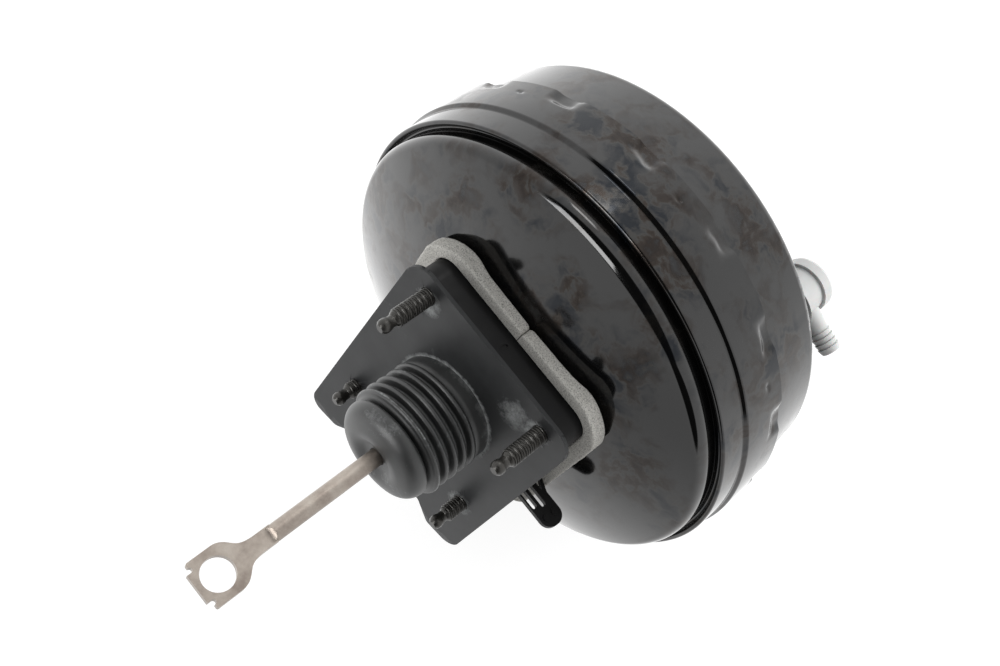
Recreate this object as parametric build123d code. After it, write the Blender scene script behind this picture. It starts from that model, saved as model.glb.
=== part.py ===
from build123d import *
import math
import os

# Vacuum brake booster, tandem type. Millimetres. +Y points to the engine bay, +Z up as installed,
# and the origin is the centre of the four-stud pattern in the plane that meets the firewall.

# Driving dimensions: pressed housing
steel_t = 1.4
neck_r = 29.6
neck_rear_y = 9.5
dome_root_y = 20.35
dome_slope = 22.2
dome_crown_r = 300.0
skirt_r = 137.0
band_step = 1.9
nose_width = 3.2
gutter_width = 2.9
wall_draft = 1.6
shoulder_bend = 7.0
gutter_floor_y = 60.2
nose_y = 56.6
step_y = 73.0
skirt_end_y = 101.5
lock_count = 16
lock_depth = 2.0
lock_len = 16.0
lock_start_y = 94.0
lock_draft = 40.0
lance_count = 8
lance_y = 91.6
front_face_y = 163.0
front_flat_r = 68.0
front_bend = 60.0
front_shoulder_y = 139.7
front_draft = 3.2
front_rim_y = 87.6
pilot_r = 20.0
pilot_depth = 14.0

# Driving dimensions: firewall side
stud_dx = 54.0
stud_dz = 44.0
stud_r = 5.0
stud_tip_y = -33.0
spacer_x = 62.0
spacer_z = 57.5
spacer_corner = 12.0
spacer_wall = 4.0
spacer_bore_r = 33.0
gasket_t = 2.5
gasket_tilt = 7.2
gasket_z = 61.5
gasket_short_x = 66.0
gasket_lobe_x = 103.0
gasket_waist_x = 91.0
foam_t = 6.0
foam_rear_y = 19.5
foam_height = 6.8

# Driving dimensions: boot and pushrod
boot_r = 31.6
boot_groove = 4.2
boot_pitch = 6.3
boot_folds = 5
boot_first_y = -15.0
boot_wall = 1.7
boot_end_y = -57.5
rod_r = 4.75
ball_r = 6.0
ball_y = 33.0
eye_y = -153.3
eye_hole_r = 8.85
eye_half = 13.0
eye_t = 5.0
swing = 3.0

# Driving dimensions: power piston and its valve
travel = 32.0
valve_travel = 1.6
body_neck_r = 24.0
body_tube_r = 25.0
body_hub_r = 40.0
body_rear_y = -20.0
hub_y = 50.0
front_seat_y = 98.0
body_front_y = 108.0
front_spigot_r = 21.0
filter_bore_r = 20.5
valve_bore_r = 19.0
guide_r = 8.05
disc_bore_r = 13.1
disc_y = 58.2
plate_t = 1.2
rubber_t = 1.6
divider_y = 93.4
bead_t = 4.4
bead_width = 5.0
rod_out_r = 4.0
rod_out_end_y = 178.0

# Driving dimensions: engine side
cylinder_pcd = 85.0
cylinder_stud_r = 4.0
cylinder_stud_len = 28.0
port_inset = 26.0
port_angle = 43.05
port_seat_y = 149.6
port_seat_r = 17.0
port_body_r = 13.5
port_cap_r = 15.2
port_cap_y = 175.0
nozzle_reach = 37.0
nozzle_r = 5.7
nozzle_angle = 12.0

# Clearances
fit = 0.05
seat_gap = 0.2
soft_gap = 0.3
lock_gap = 0.4
fold_room = 9.1

# Radii that follow the skirt
skirt_in_r = skirt_r - steel_t
band_r = skirt_r - band_step
nose_in_r = band_r - nose_width
gutter_r = nose_in_r - gutter_width
shoulder_r = gutter_r + wall_draft
front_wall_r = skirt_in_r - lock_depth - lock_gap
front_shoulder_r = front_wall_r - front_draft
rim_r = skirt_in_r - seat_gap
bead_r = rim_r - seat_gap
port_reach = front_shoulder_r - port_inset
port_x = -port_reach * math.cos(math.radians(port_angle))
port_z = port_reach * math.sin(math.radians(port_angle))

os.makedirs("parts", exist_ok=True)


def save(shape, name):
    """Write one node."""
    export_step(shape, f"parts/{name}.step")


def side_of(points, shift):
    """One face of a sheet: its corners, moved shift to the left of the line through (r, y, bend) points."""
    side = []
    for i, (r, y, bend) in enumerate(points):
        here = Vector(r, y)
        before = (here - Vector(*points[i - 1][:2])).normalized() if i else None
        after = (Vector(*points[i + 1][:2]) - here).normalized() if i < len(points) - 1 else None
        if before is None or after is None:
            along = after or before
            side.append([here + Vector(-along.Y, along.X) * shift])
            continue
        turn = math.atan2(before.X * after.Y - before.Y * after.X, before.dot(after))
        reach = bend * math.tan(abs(turn) / 2)
        sign = 1 if turn > 0 else -1
        left_in = Vector(-before.Y, before.X)
        left_out = Vector(-after.Y, after.X)
        centre = here - before * reach + left_in * bend * sign
        side.append([here - before * reach + left_in * shift,
                     centre + (here - centre).normalized() * (bend - shift * sign),
                     here + after * reach + left_out * shift])
    return side


def edges_of(side):
    """Lines and arcs through the corners of one side."""
    edges = []
    for i, corner in enumerate(side):
        if len(corner) == 3:
            edges.append(ThreePointArc(*corner))
        if i < len(side) - 1 and (side[i + 1][0] - corner[-1]).length > 1e-6:
            edges.append(Line(corner[-1], side[i + 1][0]))
    return edges


def pressed(points, wall, start=0.0):
    """Revolved sheet. It fills start to start + wall, left of the line through the points."""
    side_a, side_b = side_of(points, start), side_of(points, start + wall)
    ends = [Line(side_a[0][0], side_b[0][0]), Line(side_a[-1][-1], side_b[-1][-1])]
    return revolve(Face(Wire(edges_of(side_a) + edges_of(side_b) + ends)), Axis.Y)


def backed(points, shift, y_end):
    """Revolved solid between a sheet's line, moved by shift, and a flat end."""
    side = side_of(points, shift)
    first, last = side[0][0], side[-1][-1]
    corners = [(0, first.Y), (0, y_end), (last.X, y_end), (last.X, last.Y)]
    if first.X > 0.01:
        corners.insert(0, (first.X, first.Y))
    ends = Polyline(*corners)
    return revolve(Face(Wire(edges_of(side) + ends.edges())), Axis.Y)


def shifted(points, distance):
    """The same line moved to the left by a distance, with its bends kept concentric."""
    moved = []
    for i, (r, y, bend) in enumerate(points):
        here = Vector(r, y)
        before = (here - Vector(*points[i - 1][:2])).normalized() if i else None
        after = (Vector(*points[i + 1][:2]) - here).normalized() if i < len(points) - 1 else None
        before, after = before or after, after or before
        left = (Vector(-before.Y, before.X) + Vector(-after.Y, after.X)).normalized()
        turn = math.atan2(before.X * after.Y - before.Y * after.X, before.dot(after))
        here += left * distance / math.cos(turn / 2)
        moved.append((here.X, here.Y, max(bend - distance * math.copysign(1, turn), 0.2) if bend else 0))
    return moved


def turned(*points):
    """Revolve a closed outline of (radius, y) points about Y."""
    return revolve(make_face(Polyline(*points, close=True)), Axis.Y)


def ring(r_in, r_out, y0, y1):
    """Plain ring along Y."""
    return turned((r_in, y0), (r_out, y0), (r_out, y1), (r_in, y1))


def rod(r, y0, y1, x=0.0, z=0.0):
    """Plain round bar along Y."""
    return Pos(x, (y0 + y1) / 2, z) * Rot(90, 0, 0) * Cylinder(r, abs(y1 - y0))


def block(x_half, z_half, corner, y0, y1):
    """Rounded rectangle, extruded along Y."""
    face = Plane.XZ.offset(-y0) * RectangleRounded(2 * x_half, 2 * z_half, corner)
    return extrude(face, -(y1 - y0))


def coil(r_start, r_end, y0, y1, turns, wire):
    """Compression spring along Y, conical where the two radii differ."""
    height = y1 - y0 - 2 * wire
    cone = math.degrees(math.atan2(r_end - r_start, height))
    path = Helix(height / turns, height, r_start, cone_angle=cone)
    profile = Plane(path @ 0, z_dir=path % 0) * RegularPolygon(wire, 6)
    return Pos(0, y0 + wire, 0) * Rot(-90, 0, 0) * sweep(profile, path=path, is_frenet=True)


# Rear shell: one pressing from the bearing neck to the locking skirt
dome_rise = math.tan(math.radians(dome_slope))
dome_bend_r = 77.9
dome_bend_y = dome_root_y + 4.41
shoulder_y = dome_bend_y + dome_rise * (shoulder_r - dome_bend_r)
rear_line = [
    (neck_r, neck_rear_y, 0),
    (neck_r, dome_root_y, 3.0),
    (dome_bend_r, dome_bend_y, dome_crown_r),
    (shoulder_r, shoulder_y, shoulder_bend),
    (gutter_r, gutter_floor_y, 1.3),
    (nose_in_r, gutter_floor_y, 1.3),
    (nose_in_r, nose_y, 1.55),
    (band_r, nose_y, 1.55),
    (band_r, step_y - 0.8, 1.6),
    (skirt_r, step_y + 1.2, 1.6),
    (skirt_r, skirt_end_y, 0),
]
rear_shell = pressed(rear_line, steel_t)
dome_line = rear_line[1:4]
shell_behind = backed(dome_line, -seat_gap, skirt_end_y)
shell_inside = backed(dome_line, steel_t + fit, skirt_end_y)
dome_tilt = math.atan2(dome_bend_y - dome_root_y, dome_bend_r - neck_r)
dome_reach = dome_crown_r * math.tan((math.radians(dome_slope) - dome_tilt) / 2)
dome_centre_r = dome_bend_r - math.cos(dome_tilt) * dome_reach - math.sin(dome_tilt) * dome_crown_r
dome_centre_y = dome_bend_y - math.sin(dome_tilt) * dome_reach + math.cos(dome_tilt) * dome_crown_r


def dome_at(r):
    """Height of the rear shell's outer face at a radius."""
    return dome_centre_y - math.sqrt(dome_crown_r ** 2 - (r - dome_centre_r) ** 2)


lock_ease = 1.0


def lock_form(grow):
    """Punch for one lock notch, grown by a sheet thickness. It runs out over the skirt's free edge."""
    spread = (lock_depth + lock_ease) * math.tan(math.radians(lock_draft)) + grow * 0.6
    low, high = lock_start_y - spread, skirt_end_y + 12
    plane = Plane(origin=(skirt_r + lock_ease, (low + high) / 2, 0), x_dir=(0, 0, 1), z_dir=(-1, 0, 0))
    face = plane * RectangleRounded(lock_len + 2 * spread, high - low, 3 + spread)
    return extrude(face, lock_depth + lock_ease + grow, taper=lock_draft)


lock_punch = lock_form(0)
lock_wall = (lock_form(steel_t) - lock_punch) & ring(0, skirt_r - 0.05, 80, skirt_end_y)
for i in range(lock_count):
    turn = Rot(0, 360 / lock_count * (i + 0.5), 0)
    rear_shell = rear_shell - turn * lock_punch + turn * lock_wall
for i in range(lance_count):
    place = Rot(0, 360 / lance_count * i, 0) * Pos(skirt_r, lance_y, 0)
    rear_shell -= place * Rot(0, 90, 0) * Cylinder(1.2, 1.4)
stud_places = [(x, z) for x in (-stud_dx, stud_dx) for z in (-stud_dz, stud_dz)]
for x, z in stud_places:
    rear_shell -= rod(stud_r + 1.1, 0, 50, x, z)
save(rear_shell, "rear_shell")

# Stud plate: pressed to the shell's dome inside, with flat seats for the stud heads
stud_head_r = 8.0
stud_plate_t = 2.0
stud_hole_r = stud_r + 1.1
stud_circle_r = math.hypot(stud_dx, stud_dz)
head_seat_y = dome_at(stud_circle_r + stud_head_r + 1) + steel_t + stud_plate_t + 0.2
stud_plate = pressed(dome_line, stud_plate_t, steel_t + fit)
stud_plate &= block(spacer_x + 4, spacer_z + 1, 14, 0, 60)
stud_plate -= rod(neck_r + 8, 0, 60)
for x, z in stud_places:
    stud_plate += rod(stud_head_r + 1, 0, head_seat_y, x, z) & shell_inside
    stud_plate -= rod(stud_hole_r, 0, 60, x, z)
save(stud_plate, "stud_plate")

# Firewall studs: shouldered inside the spacer, threaded outside it, with a necked pilot tip
thread_end_y = stud_tip_y + 10.5
stud_profile = [
    (0, stud_tip_y), (2.2, stud_tip_y), (3.7, stud_tip_y + 1.6), (4.0, stud_tip_y + 3.4),
    (3.7, stud_tip_y + 5.2), (3.2, stud_tip_y + 6.2), (3.2, stud_tip_y + 8.6), (stud_r - 0.8, thread_end_y - 0.9),
    (stud_r, thread_end_y), (stud_r, gasket_t - 0.1), (stud_r + 1.0, gasket_t + 0.5),
    (stud_r + 1.0, head_seat_y), (stud_head_r, head_seat_y), (stud_head_r, head_seat_y + 2.6),
    (0, head_seat_y + 2.6),
]
stud = turned(*stud_profile)
firewall_studs = [Pos(x, 0, z) * stud for x, z in stud_places]
save(Compound(children=firewall_studs), "firewall_studs")

# Spacer block: hollow moulding between the shell and the firewall
spacer_front_y = 36.0
spacer = block(spacer_x, spacer_z, spacer_corner, gasket_t, spacer_front_y)
spacer -= block(spacer_x - spacer_wall, spacer_z - spacer_wall, spacer_corner - spacer_wall,
                gasket_t + 5, spacer_front_y)
spacer += rod(spacer_bore_r + 3, gasket_t, spacer_front_y)
for x, z in stud_places:
    spacer += rod(stud_r + 4.5, gasket_t, spacer_front_y, x, z) & block(
        spacer_x, spacer_z, spacer_corner, gasket_t, spacer_front_y)
for x, z in stud_places:
    spacer -= rod(stud_hole_r, 0, spacer_front_y, x, z)
spacer -= rod(spacer_bore_r, 0, spacer_front_y)
for angle in (0, 90, 180, 270):
    reach = spacer_x if angle % 180 == 0 else spacer_z
    rib_len = reach - spacer_bore_r - spacer_wall
    spacer += Rot(0, angle, 0) * Pos(spacer_bore_r + 2 + rib_len / 2, (gasket_t + spacer_front_y) / 2, 0) * Box(
        rib_len, spacer_front_y - gasket_t, 3)
spacer -= Pos(-spacer_x, 9.5, 0) * Rot(0, 90, 0) * extrude(Ellipse(1.4, 2.6), 0.6, both=True)
spacer -= shell_behind
save(spacer, "spacer_block")

# Foam strip round the spacer where it meets the shell
foam = block(spacer_x + foam_t, spacer_z + foam_t, spacer_corner + foam_t, foam_rear_y, foam_rear_y + foam_height)
foam -= block(spacer_x + 0.05, spacer_z + 0.05, spacer_corner, 0, 60)
foam -= Pos(-spacer_x - foam_t, foam_rear_y, 1.0) * Box(2 * foam_t + 2, 40, 0.5)
foam -= shell_behind
save(foam, "foam_seal")

# Flange gasket: rubber plate gripping the studs, lifted off the spacer along its long side
lobe_r = 11.0
gasket_line = Polyline(
    (-gasket_short_x, -gasket_z), (gasket_lobe_x, -gasket_z), (gasket_lobe_x, -gasket_z + 2 * lobe_r),
    (gasket_waist_x, -gasket_z + 3.2 * lobe_r), (gasket_waist_x, gasket_z - 3.2 * lobe_r),
    (gasket_lobe_x, gasket_z - 2 * lobe_r), (gasket_lobe_x, gasket_z), (-gasket_short_x, gasket_z), close=True)
gasket_face = make_face(gasket_line)
for side, radius in ((-1, 13.0), (1, 9.5)):
    corners = [v for v in gasket_face.vertices() if abs(abs(v.Y) - gasket_z) < 0.1 and v.X * side > 0]
    gasket_face = fillet(corners, radius)
inner_corners = [v for v in gasket_face.vertices() if abs(v.Y) < gasket_z - 2 * lobe_r + 1 and v.X > 80]
gasket_face = fillet(inner_corners, 5.0)
flat_gasket = extrude(Plane.XZ.offset(-gasket_t) * gasket_face, gasket_t)
tilt = Pos(-spacer_x, gasket_t - 0.05, 0) * Rot(0, 0, -gasket_tilt) * Pos(spacer_x, -gasket_t, 0)
flat_gasket -= rod(boot_r - boot_wall - 1.5, -5, 5)
gasket = tilt * flat_gasket
for x, z in stud_places:
    gasket -= rod(stud_r + 1.3, -60, 20, x, z)
save(gasket, "flange_gasket")

# Pushrod boot: bellows from the gasket to the rod
nose_r = boot_r - 1.8
collar_r = boot_r - 0.4
valley_r = boot_r - boot_groove
boot_line = [(collar_r, 2.0, 0), (collar_r, boot_first_y + 2.9, 1.0)]
for i in range(boot_folds):
    crest_y = boot_first_y - i * boot_pitch
    boot_line.append((boot_r + 0.8, crest_y, 1.5))
    boot_line.append((valley_r, crest_y - boot_pitch / 2, 1.9))
last_crest_y = boot_first_y - (boot_folds - 1) * boot_pitch
boot_line += [
    (nose_r, last_crest_y - 4.4, 2.0), (nose_r, boot_end_y + 4.0, 9.0), (15.0, boot_end_y, 5.0),
    (rod_r + 3.2, boot_end_y + 3.4, 2.0), (rod_r + soft_gap, boot_end_y + 3.4, 0)]
boot = pressed(boot_line, -boot_wall)
boot += ring(rod_r + soft_gap, rod_r + 3.6, boot_end_y + 3.4, boot_end_y + 9.0)
gasket_side = tilt * Pos(0, 51 - soft_gap, 0) * Box(200, 102, 200)
boot -= gasket_side
save(boot, "pushrod_boot")

# Harness clip: slotted tab standing on the top of the spacer
clip_t = 3.2
clip_x = 12.0
clip_top_z = 86.5
clip_y0, clip_y1 = 0.6, 15.0
clip_face = Plane.YZ.offset(clip_x) * make_face(Polyline(
    (clip_y0, spacer_z), (clip_y0, clip_top_z), (clip_y1 - 0.5, clip_top_z), (clip_y1 - 0.5, clip_top_z - 17),
    (clip_y1 + 4, spacer_z), close=True))
tip_corners = [v for v in clip_face.vertices() if v.Z > clip_top_z - 1]
clip_face = fillet(tip_corners, 6.4)
clip = extrude(clip_face, clip_t)
clip_mid = (clip_y0 + clip_y1 - 0.5) / 2
for y, z_len in ((clip_mid + 0.6, 15.0), (clip_y0 + 2.6, 13.0)):
    slot = Plane.YZ * RectangleRounded(3.0, z_len, 1.4)
    clip -= Pos(clip_x - 1, y, spacer_z + 2 + z_len / 2) * extrude(slot, clip_t + 2)
clip -= Plane.YZ.offset(clip_x - 1) * extrude(make_face(Polyline(
    (clip_y1 - 2.2, spacer_z + 2), (clip_y1 + 2.0, spacer_z + 2), (clip_y1 - 2.2, spacer_z + 10), close=True)),
    clip_t + 2)
for y in (clip_mid - 3.0, clip_mid + 3.0):
    clip += Pos(clip_x - 0.3, y, clip_top_z - 6.5) * Rot(0, 90, 0) * Cylinder(1.9, 0.6)
clip += Pos(clip_x + clip_t / 2, 8.5, spacer_z + 1.0) * Box(clip_t + 5, 15, 2.0)
save(clip, "harness_clip")

# Pushrod: ball end, round shank and a flattened eye
rod_end_y = eye_y + 30.0
shank = turned((0, rod_end_y), (rod_r, rod_end_y), (rod_r, ball_y), (0, ball_y))
shank += Pos(0, ball_y, 0) * Sphere(ball_r)
collar_y = -6.5
spring_seat_r = 9.8
shank += ring(0, spring_seat_r, collar_y, collar_y + 1.5)
eye_line = [
    Line((rod_end_y + 8, rod_r), (rod_end_y - 1, rod_r)),
    Spline((rod_end_y - 1, rod_r), (eye_y + 15.5, 6.6), (eye_y + 5.0, eye_half),
           tangents=((-1, 0), (-1, 0.05))),
    Line((eye_y + 5.0, eye_half), (eye_y - 8.6, eye_half)),
    ThreePointArc((eye_y - 8.6, eye_half), (eye_y - 9.3, eye_half - 0.3), (eye_y - 9.6, eye_half - 1.0)),
    Line((eye_y - 9.6, eye_half - 1.0), (eye_y - 9.6, 10.6)),
    ThreePointArc((eye_y - 9.6, 10.6), (eye_y - 8.2, 9.3), (eye_y - 9.6, 8.0)),
    Line((eye_y - 9.6, 8.0), (eye_y - 12.0, 8.0)),
    Line((eye_y - 12.0, 8.0), (eye_y - 12.0, 0)),
    Line((eye_y - 12.0, 0), (rod_end_y + 8, 0)),
    Line((rod_end_y + 8, 0), (rod_end_y + 8, rod_r)),
]
eye_face = Plane.YZ * Face(Wire(eye_line))
half_eye = extrude(eye_face, eye_t / 2, both=True)
eye = half_eye + mirror(half_eye, Plane.XY)
blank = rod(rod_r, rod_end_y - 4, rod_end_y + 9)
for side in (-1, 1):
    blank -= Pos(side * (eye_t / 2 + 6), rod_end_y - 1.5, 0) * Cylinder(6, 40)
    blank -= Pos(side * (eye_t / 2 + 6), rod_end_y - 11.5, 0) * Box(12, 20, 40)
eye &= Pos(0, rod_end_y - 40, 0) * Box(20, 86, 40)
pushrod = shank - Pos(0, rod_end_y, 0) * Box(20, 18, 20) + blank + eye
pushrod -= Pos(0, eye_y, 0) * Rot(0, 90, 0) * Cylinder(eye_hole_r, 20)
save(pushrod, "pushrod")

# Valve body: the moulded power piston with its stepped bore
seat_y = 18.8
valve_body = turned(
    (filter_bore_r, body_rear_y), (body_neck_r, body_rear_y), (body_neck_r, 42), (body_hub_r, 45),
    (body_hub_r, hub_y), (body_tube_r, hub_y), (body_tube_r, front_seat_y), (front_spigot_r, front_seat_y),
    (front_spigot_r, body_front_y), (15, body_front_y), (15, disc_y + 9), (disc_bore_r, disc_y + 9),
    (disc_bore_r, disc_y - 0.2), (guide_r, disc_y - 0.2), (guide_r, 27), (12.6, 24), (12.6, seat_y),
    (13.8, seat_y), (13.8, 22), (valve_bore_r, 22), (valve_bore_r, 2), (filter_bore_r, 2))
key_y = 44.6
key_gap = 3.2
key_t = 2.4
key_low_y = key_y + 0.3
valve_body -= Pos(0, key_y + key_gap / 2, 0) * Box(16, key_gap, 46)
for i in range(6):
    rib = Rot(0, 60 * i + 30, 0) * Pos((body_tube_r + body_hub_r) / 2, 41.5, 0) * Box(15, 6.5, 2.4)
    valve_body += rib & rod(body_hub_r, 38, 46)
save(valve_body, "valve_body")

# Retaining key: forked plate that limits the plunger's stroke
key = Pos(0, key_low_y + key_t / 2, 0.5) * Box(14.6, key_t, 44)
key -= Pos(0, key_y + 1.5, -14) * Box(11.0, 4, 28)
key -= rod(5.5, key_y - 2, key_y + 5)
save(key, "retaining_key")

# Plunger: air valve with the pushrod's socket
groove_y = key_low_y - valve_travel - 0.1
plunger = turned(
    (6.05, 18), (9.2, 18), (10.4, 18), (10.4, 20.2), (8.0, 22), (8.0, groove_y), (5.3, groove_y), (5.3, key_low_y + key_t + 0.3),
    (8.0, key_low_y + key_t + 0.3), (8.0, 53), (5.0, 54), (5.0, 56.4), (0, 56.4), (0, ball_y + ball_r + 0.1),
    (6.05, ball_y + ball_r + 0.1))
save(plunger, "plunger")

# Poppet: rubber valve ring on a rolling sleeve, with its retainer and spring
poppet = turned((8.6, 15.9), (8.6, 17.9), (15.4, 17.9), (15.4, 16), (16.6, 14), (16.6, 8.4), (15.2, 8.4),
                (15.2, 13.6), (14.2, 15.9))
save(poppet, "poppet_seal")
retainer_y = 3.0
retainer = turned(
    (spring_seat_r - 1, retainer_y), (18.7, retainer_y), (18.7, 12.5), (17.6, 12.5), (17.6, retainer_y + 1.2),
    (spring_seat_r - 1, retainer_y + 1.2))
save(retainer, "poppet_retainer")
save(coil(12.6, 12.6, retainer_y + 1.25, 15.6, 2.5, 0.6), "poppet_spring")
save(coil(9.4, 9.4, collar_y + 2.1, retainer_y - fit, 2.0, 0.8), "pushrod_return_spring")

# Air filter and silencer: felt and foam rings in the neck of the valve body
save(ring(9.6, filter_bore_r - 0.2, -19, -12.2), "air_filter")
save(ring(9.6, filter_bore_r - 0.2, -12.0, -7.6), "air_silencer")

# Reaction disc, output rod and its retainer
save(ring(0, disc_bore_r - 0.1, disc_y, disc_y + 4), "reaction_disc")
output_rod = turned((0, disc_y + 4.1), (disc_bore_r - 0.2, disc_y + 4.1), (disc_bore_r - 0.2, disc_y + 8.4),
                    (rod_out_r + 1.5, disc_y + 10), (rod_out_r, disc_y + 13), (rod_out_r, rod_out_end_y - 1.2),
                    (rod_out_r - 1.2, rod_out_end_y), (0, rod_out_end_y))
save(output_rod, "output_rod")
save(turned((7.0, disc_y + 9.8), (14.9, disc_y + 9.8), (14.9, disc_y + 15), (13.7, disc_y + 15),
            (13.7, disc_y + 11), (7.0, disc_y + 11)), "output_rod_retainer")

# Support plates and the ring that holds the front one
rear_rim_r = gutter_r - steel_t - fold_room
front_fold_r = front_wall_r - steel_t - rubber_t - soft_gap
front_rim_in_r = front_fold_r - fold_room - 3.8
rear_seat_y = hub_y + rubber_t + 2 * soft_gap
rear_plate_line = [(body_tube_r + seat_gap, rear_seat_y, 0), (58, rear_seat_y, 3), (66, hub_y + 6, 3),
                   (rear_rim_r - 5.5, hub_y + 6, 3), (rear_rim_r, hub_y + 9.3, 0)]
save(pressed(rear_plate_line, plate_t), "rear_support_plate")
front_plate_line = [(front_spigot_r + seat_gap, front_seat_y + fit, 0), (58, front_seat_y + fit, 3),
                    (66, front_seat_y + 4, 3), (front_rim_in_r - 6, front_seat_y + 4, 3),
                    (front_rim_in_r, front_seat_y + 8.5, 0)]
save(pressed(front_plate_line, plate_t), "front_support_plate")
save(ring(front_spigot_r + fit, front_spigot_r + 6, front_seat_y + plate_t + 0.1, front_seat_y + plate_t + 1.7),
     "plate_retainer")

# Divider between the two chambers, with its sliding seal
bead_y = step_y + 2.9
divider_rim_y = bead_y + bead_t + seat_gap
divider_wall_r = front_fold_r - plate_t - 2 * soft_gap
hub_tube_r = body_tube_r + 5.8
divider = pressed([(hub_tube_r, divider_y - 7, 0), (hub_tube_r, divider_y, 2), (divider_wall_r - 1.5, divider_y, 3),
                   (divider_wall_r, divider_rim_y, 2), (rim_r - fit, divider_rim_y, 0)], plate_t)
save(divider, "housing_divider")
seal_out_r = hub_tube_r - plate_t - fit
divider_seal = turned((body_tube_r + fit, divider_y - 6.6), (seal_out_r, divider_y - 6.6), (seal_out_r, divider_y + 0.8),
                      (body_tube_r + 1.4, divider_y + 0.8), (body_tube_r + fit, divider_y - 1))
save(divider_seal, "divider_seal")

# Diaphragms: rubber sheets under the support plates, with a rolling fold and a bead in the rim
fold_gap = rubber_t + soft_gap
rear_under = shifted(rear_plate_line, -fold_gap)
rear_under[0] = (body_tube_r + soft_gap, rear_under[0][1], 0)
rear_fold = pressed(rear_under[:4] + [
    (rear_under[4][0] + 1.8, rear_under[4][1] + 1.2, 2), (rear_rim_r + 5.1, hub_y + 14.5, 3),
    (rear_rim_r + 6.1, bead_y, 2.5), (bead_r - bead_width + 0.2, bead_y, 0)], rubber_t)
save(rear_fold + ring(bead_r - bead_width, bead_r, bead_y, bead_y + bead_t), "rear_diaphragm")
front_bead_y = divider_rim_y + plate_t + 0.1
front_under = shifted(front_plate_line, -fold_gap)
front_under[0] = (body_tube_r + soft_gap, front_under[0][1], 0)
front_fold = pressed(front_under[:4] + [
    (front_under[4][0] + 2.2, front_under[4][1] + 1.7, 3), (front_fold_r - 5.5, front_seat_y + 12.4, 4),
    (front_fold_r, front_seat_y + 8.0, 3), (front_fold_r, front_bead_y + 3.0, 0)], rubber_t)
save(front_fold + ring(front_fold_r, bead_r, front_bead_y, front_rim_y - steel_t - fit), "front_diaphragm")

# Front shell: domed pressing with a pad for the check valve
front_line = [
    (pilot_r, front_face_y - pilot_depth, 0), (pilot_r, front_face_y, 1.8), (front_flat_r, front_face_y, front_bend),
    (front_shoulder_r, front_shoulder_y, 5.5), (front_wall_r, skirt_end_y, 60.0), (front_wall_r, front_rim_y, 1.6),
    (rim_r, front_rim_y, 0)]
front_shell = pressed(front_line, -steel_t)
front_dome = [(0, front_face_y, 0)] + front_line[2:4] + [(front_shoulder_r + 2, front_shoulder_y - 20, 0)]
pad = rod(port_seat_r + steel_t, 120, port_seat_y, port_x, port_z)
pad_core = rod(port_seat_r, 120, port_seat_y - steel_t, port_x, port_z)
pit = rod(port_seat_r, port_seat_y, 190, port_x, port_z)
pit_wall = rod(port_seat_r + steel_t, port_seat_y - steel_t, 190, port_x, port_z)
near_pad = rod(port_seat_r + steel_t, 130, 165, port_x, port_z)
outer_form = backed(front_dome, 0, 100) + pad - pit
inner_form = backed(front_dome, -steel_t, 100) + pad_core - pit_wall
pad_shell = outer_form - inner_form
front_shell = front_shell - rod(port_seat_r + steel_t, 100, 190, port_x, port_z) + (pad_shell & near_pad)
port_hole_r = 9.0
front_shell -= rod(port_hole_r, 130, 190, port_x, port_z)
cylinder_places = [(-cylinder_pcd / 2, 0), (cylinder_pcd / 2, 0)]
for x, z in cylinder_places:
    front_shell -= rod(cylinder_stud_r + 0.5, 150, 190, x, z)
save(front_shell, "front_shell")

# Front reinforcement, master cylinder studs and the seal round the output rod
plate_y = front_face_y - steel_t - 2.1
reinforcement = ring(pilot_r + 3, 55, plate_y, plate_y + 2.0)
for x, z in cylinder_places:
    reinforcement -= rod(cylinder_stud_r + 0.5, 150, 190, x, z)
save(reinforcement, "front_reinforcement")
cylinder_stud = turned(
    (0, plate_y - 2.6), (7.0, plate_y - 2.6), (7.0, plate_y - 0.1), (cylinder_stud_r + 0.4, plate_y - 0.1),
    (cylinder_stud_r + 0.4, front_face_y - 0.2), (cylinder_stud_r, front_face_y),
    (cylinder_stud_r, front_face_y + cylinder_stud_len - 3), (2.9, front_face_y + cylinder_stud_len - 1.6),
    (2.9, front_face_y + cylinder_stud_len), (0, front_face_y + cylinder_stud_len))
save(Compound(children=[Pos(x, 0, z) * cylinder_stud for x, z in cylinder_places]), "master_cylinder_studs")
seal_y = front_face_y - pilot_depth
front_seal = turned((rod_out_r + fit, seal_y), (pilot_r - 0.1, seal_y), (pilot_r - 0.1, seal_y + 6),
                    (rod_out_r + 3, seal_y + 6), (rod_out_r + fit, seal_y + 4))
save(front_seal, "front_seal")

# Main return spring between the valve body and the front shell
save(coil(18.0, 31.0, body_front_y + 0.1, plate_y - 0.1, 5, 1.9), "return_spring")

# Rear bearing seal in the neck of the rear shell
neck_bore = neck_r - steel_t
save(turned((body_neck_r + fit, neck_rear_y + 1), (neck_bore - 0.1, neck_rear_y + 1),
            (neck_bore - 0.1, neck_rear_y + 9), (body_neck_r + 1.6, neck_rear_y + 9),
            (body_neck_r + fit, neck_rear_y + 7)), "rear_bearing_seal")

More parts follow.
